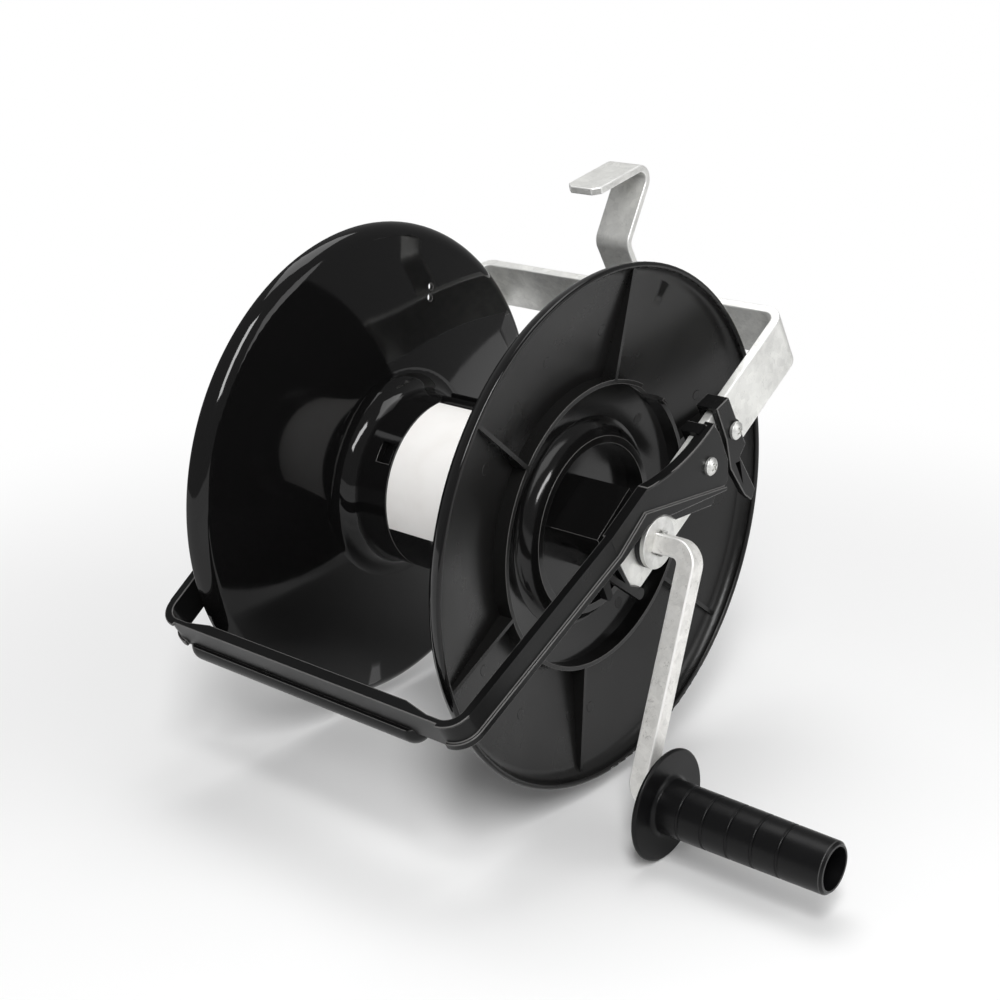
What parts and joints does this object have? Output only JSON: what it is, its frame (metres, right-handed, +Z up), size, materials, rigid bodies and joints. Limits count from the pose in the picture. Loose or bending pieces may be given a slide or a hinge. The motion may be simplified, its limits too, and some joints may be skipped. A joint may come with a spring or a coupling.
{
  "type": "electric fence reel",
  "caption": "Hand-cranked reel for electric fence line: flanged plastic drum in a bent steel frame, with carrying handle, hanging hook, crank grip and lock lever.",
  "frame": {"origin": "middle of the underside of the hook's tongue, where the reel hangs on a wire or rail", "axes": "+X along the axle towards the crank, -Y towards the carrying handle, +Z up as in the picture"},
  "size_m": [0.3581, 0.2827, 0.3061],
  "materials": {
    "galvanised_steel": "galvanised, pale grey, lightly scuffed",
    "crank_steel": "galvanised square bar, scuffed along its edges",
    "zinc_hardware": "bright zinc plate",
    "spring_steel": "plain spring steel",
    "reel_plastic": "black moulding, glossy on the winding side and satin outside",
    "handle_plastic": "satin black moulding",
    "grip_plastic": "satin black moulding with a fine grain",
    "bush_plastic": "plain black moulding",
    "label_film": "bare white film"
  },
  "bodies": {
    "frame": {"frame_bar": "galvanised_steel", "hanging_hook": "galvanised_steel", "handle": "handle_plastic", "finger_grip": "grip_plastic", "handle_screws": "zinc_hardware", "handle_nuts": "zinc_hardware", "lock_sleeve": "zinc_hardware", "lock_screw": "zinc_hardware", "lock_nut": "zinc_hardware"},
    "reel": {"reel_half_right": "reel_plastic", "reel_half_left": "reel_plastic", "drum_label": "label_film", "crank_bar": "crank_steel", "axle_spacers": "bush_plastic", "axle_bush_right": "bush_plastic", "axle_bush_left": "bush_plastic", "axle_washers": "zinc_hardware", "spring_pins": "spring_steel", "grip_retainer": "spring_steel"},
    "grip": {"crank_grip": "grip_plastic"},
    "lock": {"lock_lever": "handle_plastic"}
  },
  "joints": [
    {"name": "reel_spin", "type": "hinge", "parent": "frame", "child": "reel", "pos_m": [0, -0.09806, -0.15324], "axis": [1, 0, 0], "continuous": true},
    {"name": "grip_spin", "type": "hinge", "parent": "reel", "child": "grip", "pos_m": [0.17, -0.13693, -0.26941], "axis": [1, 0, 0], "continuous": true},
    {"name": "lock_turn", "type": "hinge", "parent": "frame", "child": "lock", "pos_m": [0.107, -0.03107, -0.11138], "axis": [1, 0, 0], "range_deg": [0, 10]}
  ]
}
